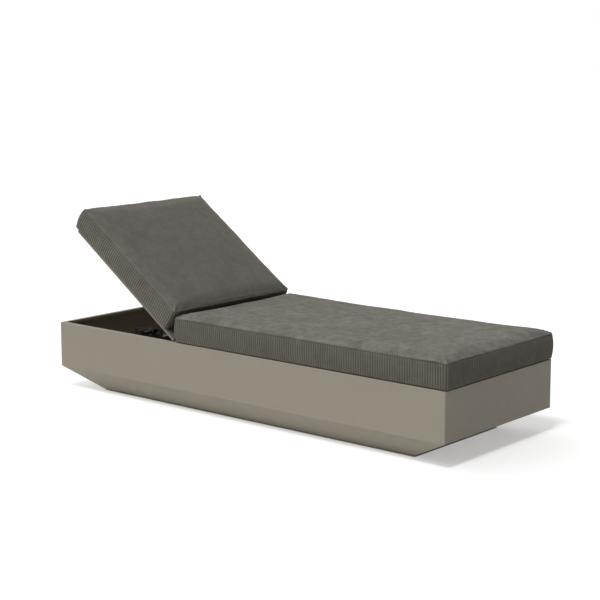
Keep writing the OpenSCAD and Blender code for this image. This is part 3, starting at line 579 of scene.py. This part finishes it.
def build(name, points, faces, uv, splits, materials):
    """A smooth mesh with a UV map; splits gives the first face of each material."""
    mesh = bpy.data.meshes.new(name)
    mesh.from_pydata(points.tolist(), [], faces)
    layer = mesh.uv_layers.new(name="UVMap")
    loops = np.zeros(len(mesh.loops), int)
    mesh.loops.foreach_get("vertex_index", loops)
    layer.data.foreach_set("uv", uv[loops].astype(np.float32).ravel())
    for material in materials:
        mesh.materials.append(material)
    number = np.searchsorted(splits, np.arange(len(faces)), side="right") - 1
    mesh.polygons.foreach_set("material_index", number.astype(np.int32))
    mesh.polygons.foreach_set("use_smooth", np.ones(len(faces), bool))
    mesh.update()
    piece = bpy.data.objects.new(name, mesh)
    bpy.context.scene.collection.objects.link(piece)
    return piece


# Rows of the finished top near an end, in from it, and their spacing between
TOP_ENDS = np.array([0, 0.001, 0.002, 0.0035, 0.0055, 0.008, 0.011, 0.017, 0.026, 0.040, 0.058])
TOP_STEP = 0.014
TOP_SELVAGE = 0.001
# Rows of a finished side, as fractional rows of the coarse mesh
SIDE_LEVELS = np.array([0, 0.5, 1, 2, 3, 4, 4.6, 5, 6, 7, 8, 9, 9.4, 10, 11, 12, 12.5, 13, 13.3, 13.6,
                        13.8, 14])
# Soft dents: their depth, the length of one, and how many lie side by side
TOP_DENTS = ((0.0011, 0.11, 6), (0.0005, 0.045, 15))
SIDE_DENTS = (0.0007, 0.12, 2)
PUCKERS = (0.0007, 0.028, 25)
PUCKER_REACH = 0.03  # how far from the seam puckers fade
TOP_FADE = 0.004  # how near the seam the top's ribs end
# A side's ribs end this far above its seam, and fade out over the second height there and over the
# third at its lower edge
SIDE_FADES = (0.002, 0.008, 0.004)
CORNER_SEAM = (0.0022, 0.0035)  # depth and half width of a corner's upright seam
WELT = (0.0065, 0.0022)  # how far below the seam the raised edge is, and its half width
# Room past the zip's ends, above and below it, and how near the head end the side is pressed in
ZIP_PLAY = 0.002
ZIP_LIP = 0.0006
HEAD_ZONE = 0.006
# The lower edge hangs from this height down, and from this far in front of the head end
SAG_RISE = 0.02
SAG_START = 0.012


def top_panel(points, index, xs, ys, half_x, half_y, seam, random):
    """The finished top: ribs along the cushion's length, soft dents, and puckers along the seam."""
    nz = len(SIDE_Z) - 1
    length = 2 * half_x
    grid = np.array([[points[index[i, j, nz]] for j in range(len(ys))] for i in range(len(xs))])
    across = np.arange(int(2 * half_y / RIB * RIB_STEPS) + 1) * RIB / RIB_STEPS
    across = across - across[-1] / 2
    selvage = half_y - TOP_SELVAGE
    across = np.concatenate([[-half_y, -selvage], across[1:-1], [selvage, half_y]])
    between = np.linspace(TOP_ENDS[-1] - half_x, half_x - TOP_ENDS[-1], int(length / TOP_STEP))[1:-1]
    along = np.concatenate([TOP_ENDS - half_x, between, (half_x - TOP_ENDS)[::-1]])
    rows = np.interp(along, xs, np.arange(len(xs)))
    columns = np.interp(across, ys, np.arange(len(ys)))
    top = curve(grid, rows)
    top = np.swapaxes(curve(np.swapaxes(top, 0, 1), columns), 0, 1)
    edge = np.minimum(half_x - np.abs(along)[:, None], half_y - np.abs(across)[None, :])
    arc = ROUND * np.arccos(1 - np.clip(edge / ROUND, 0, 1)) + np.maximum(edge - ROUND, 0)
    shape = top.shape[:2]
    dents = 0
    for depth, size, count in TOP_DENTS:
        dents = dents + depth * smooth_noise(shape, (int(length / size), count), random)
    depth, size, count = PUCKERS
    pucker = depth * smooth_noise(shape, (int(length / size), count), random)
    pucker = pucker * np.exp(-arc / PUCKER_REACH)
    lift = TOP_RIB * rib_height(across)[None, :] + dents + pucker
    lift = lift * np.clip(arc / TOP_FADE, 0, 1) - seam * bell(arc, SEAM_HALF)
    top = top + normals_of(top) * lift[..., None]
    uv = np.stack(np.broadcast_arrays(across[None, :], along[:, None]), axis=2)
    return top, uv


def side_band(points, index, ring, half_x, half_y, corner, sag, seam, random):
    """The finished sides: one band of upright ribs round the cushion, with the zip's recess."""
    nz = len(SIDE_Z) - 1
    band = np.array([[points[index[(*p, k)]] for k in range(nz + 1)] for p in ring])
    middle = band[:, nz // 2, :2]
    steps = np.linalg.norm(np.roll(middle, -1, 0) - middle, axis=1)
    run = np.concatenate([[0], np.cumsum(steps)])
    ribs = int(round(run[-1] / RIB))
    around = np.arange(ribs * RIB_STEPS) * run[-1] / (ribs * RIB_STEPS)
    side = curve(band, np.interp(around, run, np.arange(len(run))), closed=True)
    side = np.swapaxes(curve(np.swapaxes(side, 0, 1), SIDE_LEVELS), 0, 1)
    outward = normals_of(side, closed=True)
    height = side[..., 2]
    phase = around * ribs / run[-1] * RIB
    near_zip = np.abs(side[..., 1]) < ZIP_HALF_LEN + ZIP_PLAY
    near_zip &= np.abs(height - THICK / 2) < ZIP_HALF_WID + ZIP_LIP
    zip_gap = (side[..., 0] < -half_x + HEAD_ZONE) & near_zip
    over, upper, lower = SIDE_FADES
    fade = np.clip((SEAM_Z + over - height) / upper, 0, 1) * np.clip(height / lower, 0, 1)
    lift = SIDE_RIB * rib_height(phase)[:, None] * fade
    depth, size, count = SIDE_DENTS
    lift = lift + depth * smooth_noise(side.shape[:2], (int(run[-1] / size), count), random)
    turn_x = half_x - corner / 3 - np.abs(side[..., 0])
    turn_y = half_y - corner / 3 - np.abs(side[..., 1])
    depth, width = CORNER_SEAM
    lift = lift - depth * bell(np.hypot(turn_x, turn_y), width)
    below, width = WELT
    lift = lift - seam * bell(SEAM_Z - height, SEAM_HALF)
    lift = lift + seam / 6 * bell(SEAM_Z - below - height, width)
    side = side + outward * lift[..., None]
    side[..., 0] = np.where(zip_gap, -half_x + ZIP_DEPTH, side[..., 0])
    hangs = side[..., 0] > SAG_START - half_x
    side[..., 2] -= sag * np.clip(1 - height / SAG_RISE, 0, 1) * hangs
    uv = np.stack(np.broadcast_arrays(phase[:, None], height), axis=2)
    return side, uv


def underside(points, index, xs, ys, sag):
    """The flat underside, whose edges hang down but for the head end's."""
    grid = np.array([[points[index[i, j, 0]] for j in range(len(ys))] for i in range(len(xs))])
    for border in (grid[-1, :], grid[:, 0], grid[:, -1]):
        border[..., 2] -= sag
    uv = np.stack(np.broadcast_arrays(ys[None, :], xs[:, None]), axis=2)
    return grid, uv


def cushion(name, length, place, seed, corner, drop, sag, seam, pressed, cloths):
    """A cushion in the place that a matrix gives.

    corner is the radius of its upright corners, drop how far the top dips there, sag how far its
    lower edge hangs past the deck, seam the depth of the seam's groove, and pressed the end, -1 or
    1, that faces the other cushion and stays flat.
    """
    random = np.random.RandomState(seed)
    half_x, half_y = length / 2, HALF_WID
    xs, ys, ring, index, points, faces = lattice(half_x, half_y, corner, drop)
    nz = len(SIDE_Z) - 1
    held = [index[(*p, nz)] for p in ring] + [n for key, n in index.items() if key[2] == 0]
    points = points + inflate(points, faces, held, PUFF)
    points[:, 0] = pressed * np.minimum(pressed * points[:, 0], half_x)
    sway = random.uniform(-1, 1, len(ring))
    sway = sum(np.roll(sway, k) for k in range(-2, 3)) / 5
    for at, p in enumerate(ring):
        points[index[(*p, nz)], 2] += SEAM_SWAY * sway[at]

    top, top_uv = top_panel(points, index, xs, ys, half_x, half_y, seam, random)
    side, side_uv = side_band(points, index, ring, half_x, half_y, corner, sag, seam, random)
    under, under_uv = underside(points, index, xs, ys, sag)
    # Each part's points and UV, whether its rows close into a ring, and whether its faces turn over
    parts = ((top, top_uv, False, False), (side, side_uv, True, False), (under, under_uv, False, True))
    all_points, all_uv, all_faces, splits = [], [], [], []
    start = 0
    for part, uv, closed, flip in parts:
        made = grid_faces(part.shape[0], part.shape[1], start, closed)
        splits.append(len(all_faces))
        all_faces += [f[::-1] for f in made] if flip else made
        all_points.append(part.reshape(-1, 3))
        all_uv.append(uv.reshape(-1, 2))
        start += part.shape[0] * part.shape[1]
    materials = [*cloths, looks["cover_cloth"]]
    piece = build(name, np.concatenate(all_points), all_faces, np.concatenate(all_uv), splits, materials)
    piece.data.transform(place)
    return piece


seat_place = Matrix.Translation((sum(SEAT) / 2, 0, DECK_TOP))
back_place = (
    Matrix.Translation((AXIS[0], 0, AXIS[1]))
    @ Matrix.Rotation(RECLINE, 4, "Y")
    @ Matrix.Translation((sum(BACK) / 2, 0, BOARD_TOP))
    @ Matrix.Diagonal((1, 1, BACK_PLUMP, 1))
)
seat_cushion = cushion(
    "seat_cushion", SEAT[1] - SEAT[0], seat_place, seed=11, corner=0.009, drop=0.003, sag=0.007,
    seam=0.0034, pressed=-1, cloths=(looks["cover_cloth"], cloth_side),
)
back_cushion = cushion(
    "back_cushion", BACK[1] - BACK[0], back_place, seed=23, corner=0.014, drop=0.001, sag=0.0,
    seam=0.0006, pressed=1, cloths=(cloth_back, cloth_back_side),
)
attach(seat_cushion, "base")
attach(back_cushion, "backrest")
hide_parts("seat_cover", "seat_core")
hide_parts("back_cover", "back_core")


# Floor and light
FLOOR_ALBEDO = 0.84
FLOOR_BOUNCE = 0.83  # the floor's albedo for the light that it throws back at the object
FLOOR_GLOW = 0.40
FLOOR_HALF = 40
GLOW_EDGE = 0.004
AMBIENT = 0.40
SKY_LEAN = (-1.0, -0.2, 0)  # the side from which the sky is brighter
WHITE = (1, 1, 1, 1)


def floor_material():
    """A pale floor that shows as white. It doesn't glow under the base, so the contact stays dark."""
    made = Graph("floor", (FLOOR_ALBEDO,) * 3, 0.9, specular=0.1)
    glow = made.node("ShaderNodeEmission")
    glow.inputs["Color"].default_value = WHITE
    seen = made.shown_rays()
    place = made.node("ShaderNodeSeparateXYZ")
    made.link(made.coords(), place.inputs["Vector"])
    outside = [made.math("SUBTRACT", made.math("ABSOLUTE", place.outputs[axis]), half)
               for axis, half in (("X", FOOT_HALF_LEN), ("Y", FOOT_HALF_WID))]
    open_floor = made.span(made.math("MAXIMUM", *outside), 0, FLOOR_GLOW, 0.0, GLOW_EDGE)
    made.link(made.math("MULTIPLY", seen, open_floor), glow.inputs["Strength"])
    albedo = made.span(seen, FLOOR_BOUNCE, FLOOR_ALBEDO, 0.0, 1.0)
    made.link(albedo, made.bsdf.inputs["Base Color"])
    both = made.node("ShaderNodeAddShader")
    made.link(made.bsdf.outputs["BSDF"], both.inputs[0])
    made.link(glow.outputs["Emission"], both.inputs[1])
    made.link(both.outputs["Shader"], made.tree.nodes["Material Output"].inputs["Surface"])
    return made.material


floor_mesh = bpy.data.meshes.new("floor")
floor_corners = [(x * FLOOR_HALF, y * FLOOR_HALF, 0) for x, y in ((-1, -1), (1, -1), (1, 1), (-1, 1))]
floor_mesh.from_pydata(floor_corners, [], [(0, 1, 2, 3)])
floor_mesh.materials.append(floor_material())
floor = bpy.data.objects.new("floor", floor_mesh)
bpy.context.scene.collection.objects.link(floor)

world = bpy.data.worlds.new("world")
world.use_nodes = True
bpy.context.scene.world = world
sky = Nodes(world.node_tree)
ambient = sky.tree.nodes["Background"]
ambient.inputs["Color"].default_value = WHITE
toward = sky.node("ShaderNodeTexCoord")
lean = sky.node("ShaderNodeVectorMath", operation="DOT_PRODUCT")
lean.inputs[1].default_value = SKY_LEAN
sky.link(toward.outputs["Generated"], lean.inputs[0])
level = sky.math("POWER", sky.span(lean.outputs["Value"], 0, 2, -1, 1), 2)
sky.link(sky.math("MULTIPLY", level, AMBIENT), ambient.inputs["Strength"])
backdrop = sky.node("ShaderNodeBackground")
backdrop.inputs["Color"].default_value = WHITE
backdrop.inputs["Strength"].default_value = 1.0
mix = sky.node("ShaderNodeMixShader")
sky.link(sky.shown_rays(), mix.inputs["Fac"])
sky.link(ambient.outputs["Background"], mix.inputs[1])
sky.link(backdrop.outputs["Background"], mix.inputs[2])
sky.link(mix.outputs["Shader"], sky.tree.nodes["World Output"].inputs["Surface"])


def sun(name, toward, strength, angle):
    """A lamp as bright on a face turned to it as a world of that strength."""
    data = bpy.data.lights.new(name, "SUN")
    data.energy = strength * math.pi
    data.angle = math.radians(angle)
    lamp = bpy.data.objects.new(name, data)
    bpy.context.scene.collection.objects.link(lamp)
    x, y, z = toward
    lamp.rotation_euler = (0, math.atan2(math.hypot(x, y), z), math.atan2(y, x))


sun("overhead", (0.1, -0.5, 1.0), 0.43, 14)
